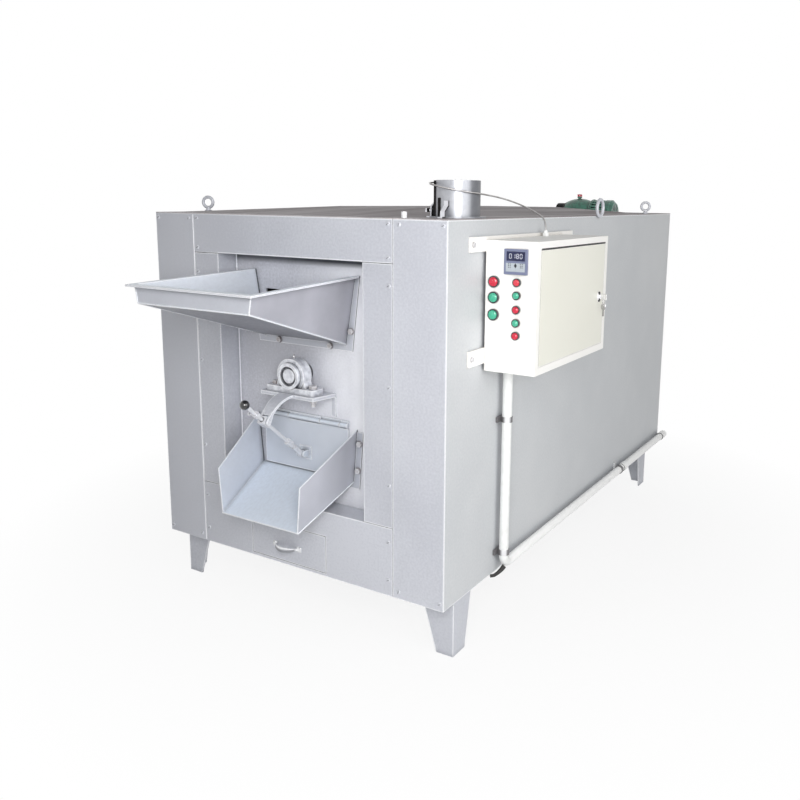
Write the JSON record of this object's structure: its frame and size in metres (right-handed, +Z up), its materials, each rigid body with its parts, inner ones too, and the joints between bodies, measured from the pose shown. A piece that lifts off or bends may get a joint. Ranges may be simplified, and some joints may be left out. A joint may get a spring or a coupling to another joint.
{
  "type": "peanut roasting oven",
  "caption": "Floor-standing drum roaster in a sheet-steel casing on legs, with a front hopper, a discharge door over a chute, a side control box and a rear chain drive.",
  "frame": {"origin": "on the floor under the middle of the casing", "axes": "+Z up, the hopper and chute face -Y, the control box is on the +X side"},
  "size_m": [1.411, 3.017, 1.488],
  "materials": {
    "casing_paint": "satin silver-grey paint",
    "top_paint": "dusty grey paint",
    "frame_paint": "grey primer",
    "tray_steel": "satin sheet",
    "hot_steel": "heat-darkened sheet",
    "bright_steel": "machined",
    "cast_grey": "painted casting",
    "zinc_sheet": "galvanised",
    "cream_paint": "smooth cream paint",
    "green_paint": "gloss green paint",
    "black_plastic": "moulded",
    "grey_plastic": "moulded",
    "red_plastic": "moulded",
    "green_plastic": "moulded",
    "white_plastic": "extruded",
    "lead_jacket": "braided jacket",
    "mineral_wool": "slab",
    "oiled_steel": "oiled"
  },
  "bodies": {
    "base": {"legs": "casing_paint", "side_panels": "casing_paint", "rear_panel": "casing_paint", "bottom_panel": "casing_paint", "front_corner_panels": "casing_paint", "recess_jambs": "casing_paint", "header_panel": "casing_paint", "lower_panel": "casing_paint", "front_plate": "casing_paint", "bearing_shelves": "casing_paint", "latch_arm": "casing_paint", "motor_platform": "casing_paint", "chain_guard": "casing_paint", "lifting_eyes": "casing_paint", "top_panel": "top_paint", "welded_frame": "frame_paint", "hopper": "tray_steel", "chute": "tray_steel", "door_hinge": "tray_steel", "inner_lining": "hot_steel", "heater_tubes": "hot_steel", "fasteners": "bright_steel", "bearing_housings": "cast_grey", "chimney": "zinc_sheet", "chimney_straps": "zinc_sheet", "box_shell": "cream_paint", "box_straps": "cream_paint", "reducer": "green_paint", "motor": "green_paint", "button_bezels": "black_plastic", "temperature_controller": "black_plastic", "box_contents": "grey_plastic", "pilot_lamp": "red_plastic", "conduit": "white_plastic", "cable_fittings": "white_plastic", "thermocouple_lead": "lead_jacket", "insulation": "mineral_wool", "drive_chain": "oiled_steel"},
    "drum": {"drum_shell": "hot_steel", "drum_flights": "hot_steel", "drum_ends": "hot_steel", "stub_shafts": "bright_steel", "bearing_inserts": "bright_steel", "drum_sprocket": "oiled_steel"},
    "drive": {"drive_sprocket": "oiled_steel"},
    "door": {"discharge_door": "tray_steel"},
    "rod": {"pull_rod": "bright_steel", "ball_knob": "black_plastic"},
    "swivel": {"swivel_block": "bright_steel"},
    "drawer": {"drawer": "casing_paint", "drawer_handle": "bright_steel"},
    "cover": {"box_door": "cream_paint"},
    "lock": {"box_lock": "bright_steel"},
    "stop": {"stop_button": "red_plastic"},
    "forward": {"forward_button": "green_plastic"},
    "reverse": {"reverse_button": "green_plastic"},
    "heat_one_on": {"heat_one_on_button": "green_plastic"},
    "heat_one_off": {"heat_one_off_button": "red_plastic"},
    "heat_two_on": {"heat_two_on_button": "green_plastic"},
    "heat_two_off": {"heat_two_off_button": "red_plastic"}
  },
  "joints": [
    {"name": "drum_turn", "type": "hinge", "parent": "base", "child": "drum", "pos_m": [0, 0, 0.854], "axis": [0, 1, 0], "continuous": true},
    {"name": "drive_turn", "type": "hinge", "parent": "base", "child": "drive", "pos_m": [0, 1.265, 1.29548], "axis": [0, 1, 0], "continuous": true},
    {"name": "door_swing", "type": "hinge", "parent": "base", "child": "door", "pos_m": [0, -1.024, 0.695], "axis": [-1, 0, 0], "range_deg": [0, 30]},
    {"name": "rod_swing", "type": "hinge", "parent": "door", "child": "rod", "pos_m": [0, -1.043, 0.576], "axis": [1, 0, 0], "range_deg": [0, 24]},
    {"name": "swivel_turn", "type": "hinge", "parent": "base", "child": "swivel", "pos_m": [0, -1.217, 0.727], "axis": [-1, 0, 0], "range_deg": [0, 7]},
    {"name": "drawer_slide", "type": "slide", "parent": "base", "child": "drawer", "axis": [0, -1, 0], "range_m": [0, 0.45]},
    {"name": "cover_swing", "type": "hinge", "parent": "base", "child": "cover", "pos_m": [0.7765, -0.8525, 1.1095], "axis": [0, 0, -1], "range_deg": [0, 110]},
    {"name": "lock_turn", "type": "hinge", "parent": "cover", "child": "lock", "pos_m": [0.781, -0.368, 1.102], "axis": [1, 0, 0], "range_deg": [0, 90]},
    {"name": "stop_press", "type": "slide", "parent": "base", "child": "stop", "axis": [0, 1, 0], "range_m": [0, 0.0035], "stiffness_N_per_m": 600},
    {"name": "forward_press", "type": "slide", "parent": "base", "child": "forward", "axis": [0, 1, 0], "range_m": [0, 0.0035], "stiffness_N_per_m": 600},
    {"name": "reverse_press", "type": "slide", "parent": "base", "child": "reverse", "axis": [0, 1, 0], "range_m": [0, 0.0035], "stiffness_N_per_m": 600},
    {"name": "heat_one_on_press", "type": "slide", "parent": "base", "child": "heat_one_on", "axis": [0, 1, 0], "range_m": [0, 0.0035], "stiffness_N_per_m": 600},
    {"name": "heat_one_off_press", "type": "slide", "parent": "base", "child": "heat_one_off", "axis": [0, 1, 0], "range_m": [0, 0.0035], "stiffness_N_per_m": 600},
    {"name": "heat_two_on_press", "type": "slide", "parent": "base", "child": "heat_two_on", "axis": [0, 1, 0], "range_m": [0, 0.0035], "stiffness_N_per_m": 600},
    {"name": "heat_two_off_press", "type": "slide", "parent": "base", "child": "heat_two_off", "axis": [0, 1, 0], "range_m": [0, 0.0035], "stiffness_N_per_m": 600}
  ],
  "couplings": [
    {"joint": "drive_turn", "follows": "drum_turn", "ratio": 3},
    {"joint": "rod_swing", "follows": "door_swing", "ratio": 0.782},
    {"joint": "swivel_turn", "follows": "door_swing", "ratio": 0.218}
  ]
}
